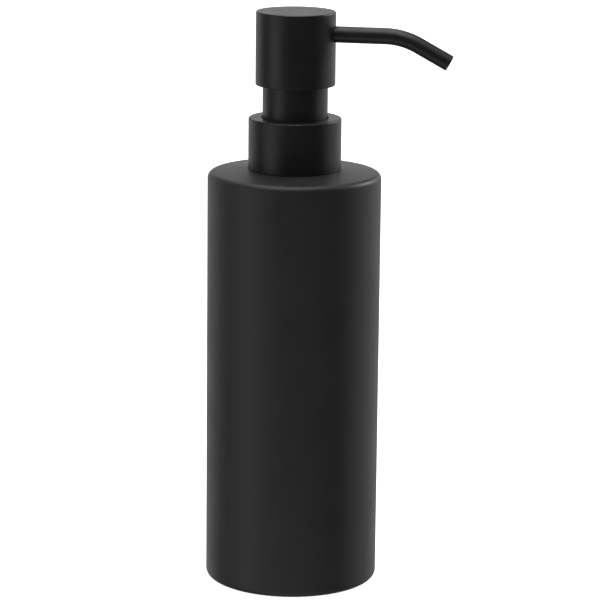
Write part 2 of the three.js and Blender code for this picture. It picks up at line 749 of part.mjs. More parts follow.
addPart('head_core', makeHeadCore(), BLACK_PLASTIC);
addPart('spout_tube', makeSpoutTube(), BLACK_COAT);
addPart('spout_liner', makeSpoutLiner(), SOFT_PLASTIC);

export default dispenser;
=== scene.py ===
"""Matt black soap pump dispenser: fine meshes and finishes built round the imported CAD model.

Outlines are [radius, height, round] corners in millimetres. Driving sizes come from the CAD nodes' boxes,
and the sizes that no box shows are the named values below. The spout points along +X and the pump is up.
"""

import json
import math

import bmesh
import bpy
from mathutils import Matrix, Vector, noise


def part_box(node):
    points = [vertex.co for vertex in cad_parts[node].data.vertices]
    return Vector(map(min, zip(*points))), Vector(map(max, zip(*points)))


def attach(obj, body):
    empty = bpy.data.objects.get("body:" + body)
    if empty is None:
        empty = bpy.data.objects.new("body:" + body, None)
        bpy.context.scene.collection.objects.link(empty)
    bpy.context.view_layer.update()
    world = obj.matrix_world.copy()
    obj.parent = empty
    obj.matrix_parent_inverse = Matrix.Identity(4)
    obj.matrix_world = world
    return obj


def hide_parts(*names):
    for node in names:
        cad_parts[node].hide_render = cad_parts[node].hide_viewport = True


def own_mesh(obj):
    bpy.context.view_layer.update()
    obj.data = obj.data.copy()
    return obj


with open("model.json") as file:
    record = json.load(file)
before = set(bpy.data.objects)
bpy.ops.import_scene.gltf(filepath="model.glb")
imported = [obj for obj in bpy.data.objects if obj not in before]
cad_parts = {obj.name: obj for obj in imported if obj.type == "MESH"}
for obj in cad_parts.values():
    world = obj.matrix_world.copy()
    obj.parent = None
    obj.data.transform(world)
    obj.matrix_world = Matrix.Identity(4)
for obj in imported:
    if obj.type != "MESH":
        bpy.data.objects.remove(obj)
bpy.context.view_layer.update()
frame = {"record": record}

MM = 0.001
GAP = 0.3  # clearance between neighbouring pieces
CONTACT = 0.06  # seam left between pieces that are pressed together
OVERCUT = 1.0  # how far a cutting tool runs past the surface that it cuts

# Rounds on edges
FAINT_EDGE = 0.1
SHEET_EDGE = 0.12  # a cut metal edge
THIN_EDGE = 0.15
FINE_EDGE = 0.2
ROLLED_EDGE = 0.25
EDGE = 0.3
SOFT_EDGE = 0.4
FULL_EDGE = 0.5
WIDE_EDGE = 0.6

# Bottle
BOTTLE_WALL = 4.5
BASE_ROUND = 2.0
SHOULDER_ROUND = 2.2
SHOULDER_DROP = 1.2  # the top slopes down by this much from the seat to the shoulder
SEAT_RADIUS = 16.4
SEAT_BLEND = 30.0  # round where the sloping top meets the flat seat
CAVITY_FLOOR = 6.5
CAVITY_ROUND = 5.0
SHOULDER_THICKNESS = 5.2
GLAZE_WAVE = 0.03  # height of the glaze's slow waves
GLAZE_WAVE_LENGTH = 22.0
GLAZE_ROW = 3.0  # height of one row of faces

# Base pad
PAD_GROOVES = 4
PAD_GROOVE_START = 9.0
PAD_GROOVE_PITCH = 4.0
PAD_GROOVE_WIDTH = 1.2
PAD_GROOVE_SLOPE = 0.3
PAD_GROOVE_DEPTH = 0.4

# Neck and closure threads
THREAD_PITCH = 4.2
THREAD_ROOT_WIDTH = 2.2
THREAD_CREST_WIDTH = 1.0
THREAD_RUN_OUT = 0.15  # turns
THREAD_ROW = 0.22  # height of one row of faces on a threaded wall
WALL_TOLERANCE = 0.01  # a vertex this close to a wall's radius belongs to that wall
NECK_BORE = 10.9
NECK_TUBE_RADIUS = 12.3
NECK_ROOT = 12.55
NECK_CREST = 13.5
NECK_TURNS = 1.5
FLANGE_THICKNESS = 1.2
CLOSURE_ROOT = 14.15
CLOSURE_CREST = 13.8
CLOSURE_TURNS = 1.25

# Metal shells
COLLAR_WALL = 0.6
COLLAR_ROUND = 0.6
COLLAR_TOP_THICKNESS = 0.7
SLEEVE_WALL = 0.68
HEAD_WALL = 0.9
HEAD_TOP_THICKNESS = 1.0
HEAD_TOP_ROUND = 0.5
HEAD_BOTTOM_ROUND = 0.3

# Pump
CYLINDER_BORE = 7.6
HOUSING_RADIUS = 9.2
HOUSING_SHOULDER = 109.2
HOUSING_LEDGE = 113.2
HOUSING_NECK_ROUND = 1.5
SOCKET_TOP = 105.2
SOCKET_WALL = 1.6
SEAT_BOTTOM = 106.4
SEAT_HOLE = 1.8
BALL_CHAMBER = 3.6
VENT_RADIUS = 0.6
VENT_HEIGHT = 153.4
CAGE_BAR_WIDTH = 1.1
CAGE_BAR_HEIGHT = 1.6
CAGE_BAR_SINK = 0.02  # the bars lie this far below the ring's top
CAGE_BARS = 2
DIP_TUBE_BORE = 2.1
DIP_TUBE_CUT = math.radians(35)
DIP_TUBE_ROW = 6.0
STEM_RADIUS = 3.9
STEM_BORE = 2.2
STEM_SHOULDER = 150.7
STEM_SHOULDER_THICKNESS = 1.5
PORT_RADIUS = 0.9
PORT_HEIGHT = 144.4
PORT_PAIRS = 2
PLUG_FLANGE_THICKNESS = 3.0
LIP_THICKNESS = 0.9
PISTON_WAIST = 6.1
PISTON_CHANNEL = 4.8
PISTON_CHANNEL_TOP = 145.8
TOWER_TOP = 169.4
BUSH_RADIUS = 5.8
BUSH_BOTTOM = 163.7
CHAPLET_WALL = 1.35
CHAPLET_FLANGE = (160.0, 161.0)
CHAPLET_PLUG_BORE = 6.2
SPRING_WIRE = 0.55
SPRING_COILS = 8.0
SPRING_DEAD_COILS = 1.0  # closed coils at each end
SPRING_CLOSED_PITCH = 2.1 * SPRING_WIRE
SPRING_ROW = 0.8
SEAL_THICKNESS = 1.0
SEAL_LIP = 0.5  # how far the seal stands off the stem's bore: at its lip, foot and skirt
SEAL_FOOT = 1.0
SEAL_SKIRT = 2.0

# Head core and spout
CORE_SKIRT_BORE = 11.55
CORE_PLUG_BOTTOM = 188.3
CORE_BOSS_RADIUS = 6.2
CORE_BOSS_DEPTH = 4.5
CORE_PASSAGE = 1.8
SPOUT_RADIUS = 2.8
SPOUT_BORE = 2.3
SPOUT_HEIGHT = 192.5
SPOUT_START = 5.3
SPOUT_BEND_START = 31.0
SPOUT_BEND_RADIUS = 24.0
SPOUT_BEND = math.radians(28)
SPOUT_END = 12.2
SPOUT_ROW = 1.0
LINER_BORE = 1.4
LINER_RECESS = 0.8

# Faces
FINE = 144  # round the bottle and the metal shells
MEDIUM = 96  # round the hidden parts
SMALL = 48  # round a thin tube
DRILL = 24  # round a drilled port
WIRE = 16  # round the spring's wire
BALL_SUBDIVISIONS = 4
BEVEL_SEGMENTS = 2
ON_AXIS = 1e-6  # an outline point closer to the axis than this is on it
ARC_STEP = math.radians(12)
SHARP_ANGLE = math.radians(32)
MERGE_DISTANCE = 0.002  # points closer than this become one after a cut or a join

BODY_OF = {
    node: body
    for body, members in frame["record"]["behaviour"]["bodies"].items()
    for node in members
}
SLOT_OF = {part["node"]: part["material_slot"] for part in frame["record"]["subparts"]}


# ---- Mesh helpers -------------------------------------------------------------------------


def extent(node):
    """Radius, bottom and top of a turned CAD node, in millimetres."""
    low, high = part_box(node)
    return high.y / MM, low.z / MM, high.z / MM


def rounded(outline, closed):
    """The outline's corners as (radius, height) points, with each round as an arc."""
    corners = [Vector(corner[:2]) for corner in outline]
    rounds = [corner[2] if len(corner) > 2 else 0 for corner in outline]
    points = []
    for index, corner in enumerate(corners):
        at_end = not closed and index in (0, len(corners) - 1)
        if at_end or rounds[index] == 0:
            points.append(corner)
            continue
        before = (corners[index - 1] - corner).normalized()
        after = (corners[(index + 1) % len(corners)] - corner).normalized()
        half = before.angle(after) / 2
        reach = rounds[index] / math.tan(half)
        centre = corner + (before + after).normalized() * rounds[index] / math.sin(half)
        start = corner + before * reach - centre
        turn = start.angle_signed(corner + after * reach - centre)
        steps = max(2, math.ceil(abs(turn) / ARC_STEP))
        for step in range(steps + 1):
            spin = Matrix.Rotation(-turn * step / steps, 2)
            points.append(centre + spin @ start)
    return points


def divided(points, closed, row):
    """The same outline with no stretch longer than row."""
    if not row:
        return points
    following = points[1:] + (points[:1] if closed else [])
    result = []
    for point, after in zip(points, following):
        count = max(1, math.ceil((after - point).length / row))
        result.extend(point.lerp(after, step / count) for step in range(count))
    return result if closed else result + [points[-1]]


def turned(name, outline, facets, row=None):
    """A solid turned about the z axis. An outline that starts on the axis ends on it; any other closes."""
    closed = outline[0][0] > 0
    points = divided(rounded(outline, closed), closed, row)
    bm = bmesh.new()
    rings = []
    for radius, height in points:
        if radius < ON_AXIS:
            rings.append([bm.verts.new((0, 0, height * MM))] * facets)
            continue
        ring = []
        for facet in range(facets):
            angle = 2 * math.pi * facet / facets
            ring.append(
                bm.verts.new(
                    (radius * math.cos(angle) * MM, radius * math.sin(angle) * MM, height * MM)
                )
            )
        rings.append(ring)
    pairs = list(zip(rings, rings[1:] + rings[:1])) if closed else list(zip(rings, rings[1:]))
    for lower, upper in pairs:
        for facet in range(facets):
            after = (facet + 1) % facets
            loop = [lower[facet], lower[after], upper[after], upper[facet]]
            bm.faces.new(list(dict.fromkeys(loop)))
    return finished_mesh(name, bm)


def finished_mesh(name, bm):
    """A new object from a bmesh, with its faces pointing out."""
    bmesh.ops.recalc_face_normals(bm, faces=bm.faces)
    mesh = bpy.data.meshes.new(name)
    bm.to_mesh(mesh)
    bm.free()
    piece = bpy.data.objects.new(name, mesh)
    bpy.context.scene.collection.objects.link(piece)
    return piece


def shade(piece):
    """Smooth faces, with sharp edges kept and wide faces left flat."""
    bm = bmesh.new()
    bm.from_mesh(piece.data)
    for face in bm.faces:
        face.smooth = True
    for edge in bm.edges:
        edge.smooth = len(edge.link_faces) == 2 and edge.calc_face_angle() < SHARP_ANGLE
    bm.to_mesh(piece.data)
    bm.free()
    weighted = piece.modifiers.new("weighted_normals", "WEIGHTED_NORMAL")
    weighted.keep_sharp = True


def combine(piece, tool, operation):
    """Joins the tool to the piece or cuts it away, and removes the tool."""
    modifier = piece.modifiers.new("combine", "BOOLEAN")
    modifier.operation = operation
    modifier.solver = "EXACT"
    modifier.object = tool
    bpy.context.view_layer.update()
    evaluated = piece.evaluated_get(bpy.context.evaluated_depsgraph_get())
    mesh = bpy.data.meshes.new_from_object(evaluated)
    bm = bmesh.new()
    bm.from_mesh(mesh)
    bmesh.ops.remove_doubles(bm, verts=bm.verts, dist=MERGE_DISTANCE * MM)
    bm.to_mesh(mesh)
    bm.free()
    piece.modifiers.clear()
    piece.data = mesh
    bpy.data.objects.remove(tool)
    return piece


def rod_along_x(radius, start, end, height, facets=SMALL):
    """A plain rod from start to end along the x axis, at that height."""
    rod = turned("rod", [[0, start], [radius, start], [radius, end], [0, end]], facets)
    rod.data.transform(Matrix.Rotation(math.pi / 2, 4, "Y"))
    rod.data.transform(Matrix.Translation((0, 0, height * MM)))
    return rod


def bend_along(piece, path):
    """Bends a straight rod or tube on the z axis along a path.

    path(distance) gives a point and two side directions, which make a right-handed frame with the path's own.
    """
    for vertex in piece.data.vertices:
        point, first_side, second_side = path(vertex.co.z / MM)
        vertex.co = point * MM + first_side * vertex.co.x + second_side * vertex.co.y


def wind_thread(piece, wall, crest, turns, top):
    """Raises a right-hand thread from the faces of a wall of that radius.

    top is the height of the ridge's centre at its upper end.
    """
    slope = (THREAD_ROOT_WIDTH - THREAD_CREST_WIDTH) / 2
    for vertex in piece.data.vertices:
        radius = math.hypot(vertex.co.x, vertex.co.y) / MM
        if abs(radius - wall) > WALL_TOLERANCE:
            continue
        share = (math.atan2(vertex.co.y, vertex.co.x) / (2 * math.pi)) % 1
        above = (vertex.co.z / MM - top) / THREAD_PITCH - share
        coil = round(above)
        turn = -(share + coil)
        if not 0 < turn < turns:
            continue
        offset = abs(above - coil) * THREAD_PITCH
        rise = min(1, max(0, (THREAD_ROOT_WIDTH / 2 - offset) / slope))
        fade = min(1, turn / THREAD_RUN_OUT, (turns - turn) / THREAD_RUN_OUT)
        scale = (wall + (crest - wall) * rise * fade) / radius
        vertex.co.x *= scale
        vertex.co.y *= scale


# ---- Bottle -------------------------------------------------------------------------------


def make_bottle():
    """A hollow cylinder with a sloping top and a recess for the pad.

    The glaze's waves only sink into its face, so the bottle never outgrows its size.
    """
    radius, bottom, top = extent("bottle")
    pad_radius, _, pad_top = extent("base_pad")
    mouth = NECK_TUBE_RADIUS + GAP
    cavity = radius - BOTTLE_WALL
    bottle = turned(
        "bottle_shape",
        [
            [0, pad_top + GAP],
            [pad_radius + GAP, pad_top + GAP, EDGE],
            [pad_radius + GAP, bottom, WIDE_EDGE],
            [radius, bottom, BASE_ROUND],
            [radius, top - SHOULDER_DROP, SHOULDER_ROUND],
            [SEAT_RADIUS, top, SEAT_BLEND],
            [mouth, top, SOFT_EDGE],
            [mouth, top - SHOULDER_THICKNESS, WIDE_EDGE],
            [cavity, top - SHOULDER_THICKNESS, CAVITY_ROUND],
            [cavity, CAVITY_FLOOR, CAVITY_ROUND],
            [0, CAVITY_FLOOR],
        ],
        FINE,
        row=GLAZE_ROW,
    )
    for vertex in bottle.data.vertices:
        flat = Vector((vertex.co.x, vertex.co.y, 0))
        if flat.length / MM > radius - SHOULDER_ROUND:
            wave = noise.noise(vertex.co / (GLAZE_WAVE_LENGTH * MM))
            vertex.co -= flat.normalized() * (1 - wave) * GLAZE_WAVE * MM
    return bottle


def make_base_pad():
    """A disc with shallow ring grooves underneath."""
    radius, bottom, top = extent("base_pad")
    outline = [[0, bottom]]
    for ring in range(PAD_GROOVES):
        inner = PAD_GROOVE_START + PAD_GROOVE_PITCH * ring
        outer = inner + PAD_GROOVE_WIDTH
        outline += [
            [inner, bottom, FAINT_EDGE],
            [inner + PAD_GROOVE_SLOPE, bottom + PAD_GROOVE_DEPTH, FAINT_EDGE],
            [outer - PAD_GROOVE_SLOPE, bottom + PAD_GROOVE_DEPTH, FAINT_EDGE],
            [outer, bottom, FAINT_EDGE],
        ]
    outline += [[radius, bottom, EDGE], [radius, top, FINE_EDGE], [0, top]]
    return turned("base_pad_shape", outline, FINE)


def make_neck_insert():
    flange, bottom, top = extent("neck_insert")
    _, _, bottle_top = extent("bottle")
    flange_bottom = bottle_top + CONTACT
    flange_top = bottle_top + GAP + FLANGE_THICKNESS
    insert = turned(
        "neck_insert_shape",
        [
            [NECK_BORE, bottom, EDGE],
            [NECK_TUBE_RADIUS, bottom, EDGE],
            [NECK_TUBE_RADIUS, flange_bottom],
            [flange, flange_bottom, FINE_EDGE],
            [flange, flange_top, EDGE],
            [NECK_ROOT, flange_top, FINE_EDGE],
            [NECK_ROOT, top, EDGE],
            [NECK_BORE, top, EDGE],
        ],
        FINE,
        row=THREAD_ROW,
    )
    highest = top - THREAD_ROOT_WIDTH / 2 - GAP
    wind_thread(insert, NECK_ROOT, NECK_CREST, NECK_TURNS, highest)
    return insert


# ---- Pump ---------------------------------------------------------------------------------


def make_neck_gasket():
    radius, bottom, top = extent("neck_gasket")
    bore = HOUSING_RADIUS + CONTACT
    return turned(
        "neck_gasket_shape",
        [[bore, bottom, FINE_EDGE], [radius, bottom, EDGE], [radius, top, EDGE], [bore, top, FINE_EDGE]],
        MEDIUM,
    )


def make_pump_housing():
    flange, bottom, top = extent("pump_housing")
    tube_radius, _, _ = extent("dip_tube")
    bore = tube_radius + CONTACT
    socket = tube_radius + GAP + SOCKET_WALL
    flange_bottom = top - FLANGE_THICKNESS
    seat_top = SEAT_BOTTOM + BALL_CHAMBER - SEAT_HOLE
    housing = turned(
        "pump_housing_shape",
        [
            [bore, bottom, SOFT_EDGE],
            [socket, bottom, FULL_EDGE],
            [socket, SOCKET_TOP, HOUSING_NECK_ROUND],
            [HOUSING_RADIUS, HOUSING_SHOULDER, HOUSING_NECK_ROUND],
            [HOUSING_RADIUS, flange_bottom, SOFT_EDGE],
            [flange, flange_bottom, FINE_EDGE],
            [flange, top, FINE_EDGE],
            [CYLINDER_BORE, top, SOFT_EDGE],
            [CYLINDER_BORE, HOUSING_LEDGE, EDGE],
            [BALL_CHAMBER, HOUSING_LEDGE, FINE_EDGE],
            [BALL_CHAMBER, seat_top, FINE_EDGE],
            [SEAT_HOLE, SEAT_BOTTOM, FINE_EDGE],
            [SEAT_HOLE, SOCKET_TOP, FINE_EDGE],
            [bore, SOCKET_TOP, FINE_EDGE],
        ],
        MEDIUM,
    )
    vent = rod_along_x(VENT_RADIUS, CYLINDER_BORE - OVERCUT, HOUSING_RADIUS + OVERCUT, VENT_HEIGHT)
    return combine(housing, vent, "DIFFERENCE")


def make_dip_tube():
    radius, bottom, top = extent("dip_tube")
    tube = turned(
        "dip_tube_shape",
        [
            [DIP_TUBE_BORE, bottom, THIN_EDGE],
            [radius, bottom, THIN_EDGE],
            [radius, top, FINE_EDGE],
            [DIP_TUBE_BORE, top, FINE_EDGE],
        ],
        SMALL,
        row=DIP_TUBE_ROW,
    )
    cut_height = 2 * radius * math.tan(DIP_TUBE_CUT)
    for vertex in tube.data.vertices:
        above = vertex.co.z / MM - bottom
        share = max(0, 1 - above / cut_height)
        vertex.co.z += (radius * MM - vertex.co.x) * math.tan(DIP_TUBE_CUT) * share
    return tube


def make_inlet_ball():
    low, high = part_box("inlet_ball")
    bm = bmesh.new()
    radius = (high.z - low.z) / 2
    bmesh.ops.create_icosphere(bm, subdivisions=BALL_SUBDIVISIONS, radius=radius)
    bmesh.ops.translate(bm, verts=bm.verts, vec=(low + high) / 2)
    return finished_mesh("inlet_ball_shape", bm)


def make_ball_cage():
    radius, bottom, top = extent("ball_cage")
    cage = turned(
        "ball_cage_shape",
        [
            [BALL_CHAMBER, bottom, FINE_EDGE],
            [radius, bottom, FINE_EDGE],
            [radius, top, EDGE],
            [BALL_CHAMBER, top, EDGE],
        ],
        MEDIUM,
    )
    size = Vector((BALL_CHAMBER + radius, CAGE_BAR_WIDTH, CAGE_BAR_HEIGHT)) * MM
    centre = Vector((0, 0, top - CAGE_BAR_SINK - CAGE_BAR_HEIGHT / 2)) * MM
    for quarter in range(CAGE_BARS):
        spin = Matrix.Rotation(quarter * math.pi / 2, 3, "Z")
        bm = bmesh.new()
        bmesh.ops.create_cube(bm, size=1)
        bmesh.ops.scale(bm, verts=bm.verts, vec=size)
        bmesh.ops.translate(bm, verts=bm.verts, vec=centre)
        bmesh.ops.rotate(bm, verts=bm.verts, matrix=spin)
        bmesh.ops.bevel(
            bm, geom=bm.edges[:], offset=THIN_EDGE * MM, segments=BEVEL_SEGMENTS, affect="EDGES"
        )
        combine(cage, finished_mesh("bar", bm), "UNION")
    return cage


def make_spring():
    """A coil with one closed coil at each end, bent from a straight wire."""
    outer, bottom, top = extent("spring")
    radius = outer - SPRING_WIRE
    low, high = bottom + SPRING_WIRE, top - SPRING_WIRE
    closed_rise = SPRING_CLOSED_PITCH * SPRING_DEAD_COILS
    open_coils = SPRING_COILS - 2 * SPRING_DEAD_COILS
    coil_length = 2 * math.pi * radius
    open_pitch = (high - low - 2 * closed_rise) / open_coils

    def height_at(coil):
        if coil < SPRING_DEAD_COILS:
            return low + closed_rise * coil / SPRING_DEAD_COILS
        if coil > SPRING_COILS - SPRING_DEAD_COILS:
            return high - closed_rise * (SPRING_COILS - coil) / SPRING_DEAD_COILS
        return low + closed_rise + (coil - SPRING_DEAD_COILS) * open_pitch

    def path(distance):
        coil = distance / coil_length
        angle = 2 * math.pi * coil
        outward = Vector((math.cos(angle), math.sin(angle), 0))
        point = outward * radius + Vector((0, 0, height_at(coil)))
        return point, Vector((0, 0, 1)), outward

    end = SPRING_COILS * coil_length
    wire = turned(
        "spring_shape",
        [[0, 0], [SPRING_WIRE, 0, THIN_EDGE], [SPRING_WIRE, end, THIN_EDGE], [0, end]],
        WIRE,
        row=SPRING_ROW,
    )
    bend_along(wire, path)
    return wire


def make_stem():
    shoulder, bottom, top = extent("stem")
    shoulder_top = STEM_SHOULDER + STEM_SHOULDER_THICKNESS
    stem = turned(
        "stem_shape",
        [
            [STEM_BORE, bottom, FINE_EDGE],
            [STEM_RADIUS, bottom, FINE_EDGE],
            [STEM_RADIUS, STEM_SHOULDER, FINE_EDGE],
            [shoulder, STEM_SHOULDER, FINE_EDGE],
            [shoulder, shoulder_top, SOFT_EDGE],
            [STEM_RADIUS, shoulder_top, FINE_EDGE],
            [STEM_RADIUS, top, SOFT_EDGE],
            [STEM_BORE, top, EDGE],
        ],
        MEDIUM,
    )
    reach = STEM_RADIUS + OVERCUT
    for quarter in range(PORT_PAIRS):
        drill = rod_along_x(PORT_RADIUS, -reach, reach, PORT_HEIGHT, DRILL)
        drill.data.transform(Matrix.Rotation(quarter * math.pi / 2, 4, "Z"))
        combine(stem, drill, "DIFFERENCE")
    return stem


def make_stem_plug():
    flange, bottom, top = extent("stem_plug")
    spigot = STEM_BORE - CONTACT
    flange_top = bottom + PLUG_FLANGE_THICKNESS
    return turned(
        "stem_plug_shape",
        [
            [0, bottom],
            [flange, bottom, WIDE_EDGE],
            [flange, flange_top, EDGE],
            [spigot, flange_top, FINE_EDGE],
            [spigot, top, SOFT_EDGE],
            [0, top],
        ],
        MEDIUM,
    )


def make_piston():
    lip, bottom, top = extent("piston")
    return turned(
        "piston_shape",
        [
            [PISTON_CHANNEL, bottom, FINE_EDGE],
            [lip, bottom, THIN_EDGE],
            [lip, bottom + LIP_THICKNESS, EDGE],
            [PISTON_WAIST, bottom + 2 * LIP_THICKNESS, WIDE_EDGE],
            [PISTON_WAIST, top - 2 * LIP_THICKNESS, WIDE_EDGE],
            [lip, top - LIP_THICKNESS, EDGE],
            [lip, top, THIN_EDGE],
            [STEM_RADIUS + GAP, top, EDGE],
            [STEM_RADIUS + GAP, PISTON_CHANNEL_TOP, FINE_EDGE],
            [PISTON_CHANNEL, PISTON_CHANNEL_TOP, FINE_EDGE],
        ],
        MEDIUM,
    )


def make_chaplet():
    flange, bottom, top = extent("chaplet")
    sleeve, _, _ = extent("guide_sleeve")
    flange_bottom, flange_top = CHAPLET_FLANGE
    tower = sleeve - SLEEVE_WALL - CONTACT
    tower_bore = tower - CHAPLET_WALL
    plug = CYLINDER_BORE - GAP
    bore = STEM_RADIUS + GAP
    return turned(
        "chaplet_shape",
        [
            [CHAPLET_PLUG_BORE, bottom, FINE_EDGE],
            [plug, bottom, EDGE],
            [plug, flange_bottom, FINE_EDGE],
            [flange, flange_bottom, FINE_EDGE],
            [flange, flange_top, FINE_EDGE],
            [tower, flange_top, FINE_EDGE],
            [tower, TOWER_TOP, FULL_EDGE],
            [BUSH_RADIUS, TOWER_TOP, EDGE],
            [BUSH_RADIUS, top, SOFT_EDGE],
            [bore, top, EDGE],
            [bore, BUSH_BOTTOM, EDGE],
            [BUSH_RADIUS, BUSH_BOTTOM, EDGE],
            [BUSH_RADIUS, TOWER_TOP - CHAPLET_WALL, EDGE],
            [tower_bore, TOWER_TOP - CHAPLET_WALL, FULL_EDGE],
            [tower_bore, flange_top, EDGE],
            [CHAPLET_PLUG_BORE, flange_top, EDGE],
        ],
        MEDIUM,
    )


def make_stem_seal():
    radius, bottom, top = extent("stem_seal")
    bore = STEM_RADIUS + GAP
    return turned(
        "stem_seal_shape",
        [
            [bore + SEAL_FOOT, bottom, FINE_EDGE],
            [radius, bottom, FINE_EDGE],
            [radius, bottom + SEAL_THICKNESS, EDGE],
            [bore + SEAL_SKIRT, bottom + SEAL_THICKNESS, EDGE],
            [bore + SEAL_LIP, top, FINE_EDGE],
            [bore, top, THIN_EDGE],
        ],
        MEDIUM,
    )


# ---- Metal shells -------------------------------------------------------------------------


def make_guide_sleeve():
    radius, bottom, top = extent("guide_sleeve")
    bore = radius - SLEEVE_WALL
    return turned(
        "guide_sleeve_shape",
        [
            [bore, bottom, SHEET_EDGE],
            [radius, bottom, SHEET_EDGE],
            [radius, top, ROLLED_EDGE],
            [bore, top, ROLLED_EDGE],
        ],
        FINE,
    )


def make_closure():
    radius, bottom, top = extent("closure")
    sleeve, _, _ = extent("guide_sleeve")
    mouth = sleeve + GAP
    closure = turned(
        "closure_shape",
        [
            [CLOSURE_ROOT, bottom, EDGE],
            [radius, bottom, EDGE],
            [radius, top, SOFT_EDGE],
            [mouth, top, FINE_EDGE],
            [mouth, top - FLANGE_THICKNESS, FINE_EDGE],
            [CLOSURE_ROOT, top - FLANGE_THICKNESS, EDGE],
        ],
        FINE,
        row=THREAD_ROW,
    )
    highest = bottom + THREAD_ROOT_WIDTH + CLOSURE_TURNS * THREAD_PITCH
    wind_thread(closure, CLOSURE_ROOT, CLOSURE_CREST, CLOSURE_TURNS, highest)
    return closure


def make_collar_shell():
    radius, _, top = extent("collar_shell")
    _, _, bottle_top = extent("bottle")
    sleeve, _, _ = extent("guide_sleeve")
    bottom = bottle_top + CONTACT
    bore = radius - COLLAR_WALL
    mouth = sleeve + GAP
    return turned(
        "collar_shell_shape",
        [
            [bore, bottom, SHEET_EDGE],
            [radius, bottom, SHEET_EDGE],
            [radius, top, COLLAR_ROUND],
            [mouth, top, ROLLED_EDGE],
            [mouth, top - COLLAR_TOP_THICKNESS, SHEET_EDGE],
            [bore, top - COLLAR_TOP_THICKNESS, FINE_EDGE],
        ],
        FINE,
    )


def make_head_shell():
    radius, bottom, top = extent("head_shell")
    bore = radius - HEAD_WALL
    shell = turned(
        "head_shell_shape",
        [
            [0, top],
            [radius, top, HEAD_TOP_ROUND],
            [radius, bottom, HEAD_BOTTOM_ROUND],
            [bore, bottom, HEAD_BOTTOM_ROUND],
            [bore, top - HEAD_TOP_THICKNESS, SOFT_EDGE],
            [0, top - HEAD_TOP_THICKNESS],
        ],
        FINE,
    )
    hole = rod_along_x(SPOUT_RADIUS + CONTACT, bore - OVERCUT, radius + OVERCUT, SPOUT_HEIGHT)
    return combine(shell, hole, "DIFFERENCE")


def make_head_core():
    radius, bottom, top = extent("head_core")
    _, _, stem_top = extent("stem")
    boss_bottom = CORE_PLUG_BOTTOM - CORE_BOSS_DEPTH
    core = turned(
        "head_core_shape",
        [
            [0, boss_bottom],
            [CORE_BOSS_RADIUS, boss_bottom, SOFT_EDGE],
            [CORE_BOSS_RADIUS, CORE_PLUG_BOTTOM, FULL_EDGE],
            [CORE_SKIRT_BORE, CORE_PLUG_BOTTOM, EDGE],
            [CORE_SKIRT_BORE, bottom, EDGE],
            [radius, bottom, FINE_EDGE],
            [radius, top, FULL_EDGE],
            [0, top],
        ],
        MEDIUM,
    )
    stem_bore = STEM_RADIUS + CONTACT
    socket = turned(
        "socket",
        [
            [0, boss_bottom - OVERCUT],
            [stem_bore, boss_bottom - OVERCUT],
            [stem_bore, stem_top + CONTACT],
            [CORE_PASSAGE, stem_top + CONTACT],
            [CORE_PASSAGE, SPOUT_HEIGHT],
            [0, SPOUT_HEIGHT],
        ],
        MEDIUM,
    )
    combine(core, socket, "DIFFERENCE")
    passage = rod_along_x(CORE_PASSAGE, -CORE_PASSAGE, SPOUT_START, SPOUT_HEIGHT)
    combine(core, passage, "DIFFERENCE")
    spout_bore = SPOUT_RADIUS + CONTACT
    spout_socket = rod_along_x(spout_bore, SPOUT_START - GAP, radius + OVERCUT, SPOUT_HEIGHT)
    return combine(core, spout_socket, "DIFFERENCE")


# ---- Spout --------------------------------------------------------------------------------


def spout_path(distance):
    """Point and side directions on the spout's centreline: level, bent down, then straight."""
    level_length = SPOUT_BEND_START - SPOUT_START
    bend_length = SPOUT_BEND_RADIUS * SPOUT_BEND
    level = min(distance, level_length)
    angle = min(max(distance - level_length, 0), bend_length) / SPOUT_BEND_RADIUS
    past = max(distance - level_length - bend_length, 0)
    point = Vector(
        (
            SPOUT_START + level + SPOUT_BEND_RADIUS * math.sin(angle) + past * math.cos(angle),
            0,
            SPOUT_HEIGHT - SPOUT_BEND_RADIUS * (1 - math.cos(angle)) - past * math.sin(angle),
        )
    )
    return point, Vector((0, 1, 0)), Vector((math.sin(angle), 0, math.cos(angle)))


def make_bent_tube(name, bore, radius, recess):
    """A tube along the spout's centreline, which ends that far inside the spout's tip."""
    length = SPOUT_BEND_START - SPOUT_START + SPOUT_BEND_RADIUS * SPOUT_BEND + SPOUT_END - recess
    tube = turned(
        name,
        [
            [bore, 0, FAINT_EDGE],
            [radius, 0, FAINT_EDGE],
            [radius, length, FAINT_EDGE],
            [bore, length, FAINT_EDGE],
        ],
        SMALL,
        row=SPOUT_ROW,
    )
    bend_along(tube, spout_path)
    return tube


def make_spout_tube():
    return make_bent_tube("spout_tube_shape", SPOUT_BORE, SPOUT_RADIUS, 0)


def make_spout_liner():
    radius = SPOUT_BORE - CONTACT
    return make_bent_tube("spout_liner_shape", LINER_BORE, radius, LINER_RECESS)


# ---- Finishes -----------------------------------------------------------------------------

NOISE_LOW = 0.3  # most of a noise's values lie between these two
NOISE_HIGH = 0.7
PLASTIC_ROUGHNESS_SPREAD = 0.04
PLASTIC_SCATTER = 2.0  # how far light travels in translucent plastic


def new_material(name, metallic=0.0, specular=0.5):
    made = bpy.data.materials.new(name)
    made.use_nodes = True
    nodes = made.node_tree.nodes
    shader = nodes["Principled BSDF"]
    shader.inputs["Metallic"].default_value = metallic
    shader.inputs["Specular IOR Level"].default_value = specular
    where = nodes.new("ShaderNodeTexCoord")
    return made, shader, where.outputs["Object"]


